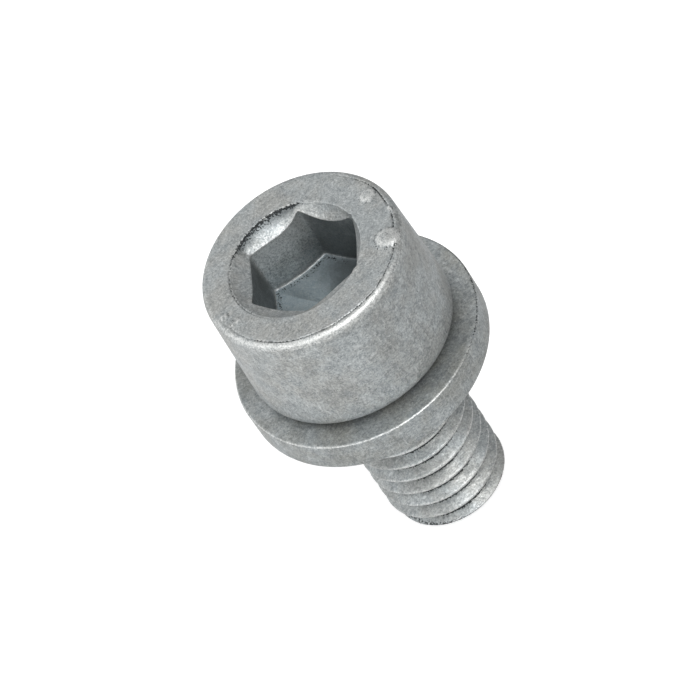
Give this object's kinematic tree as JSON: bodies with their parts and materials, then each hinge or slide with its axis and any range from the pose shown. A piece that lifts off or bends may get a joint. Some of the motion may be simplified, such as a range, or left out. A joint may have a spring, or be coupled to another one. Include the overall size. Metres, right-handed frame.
{
  "type": "hex socket cap screw with captive washer",
  "caption": "Cylindrical head cap screw with a hexagon socket, a short coarse thread and a plain washer that turns loosely on the neck under the head.",
  "frame": {"origin": "centre of the flat end of the thread, the lowest point of the standing screw", "axes": "+Z along the screw's axis from the thread's end to the head, +X through two opposite corners of the hexagon socket"},
  "size_m": [0.0116, 0.0116, 0.018],
  "materials": {
    "screw_steel": "matte grey zinc coating, finely mottled",
    "washer_steel": "matte grey zinc coating, finely mottled"
  },
  "bodies": {
    "screw": {"screw": "screw_steel"},
    "washer": {"washer": "washer_steel"}
  },
  "joints": [
    {"name": "washer_spin", "type": "hinge", "parent": "screw", "child": "washer", "pos_m": [0, 0, 0.01095], "axis": [0, 0, 1], "continuous": true}
  ]
}
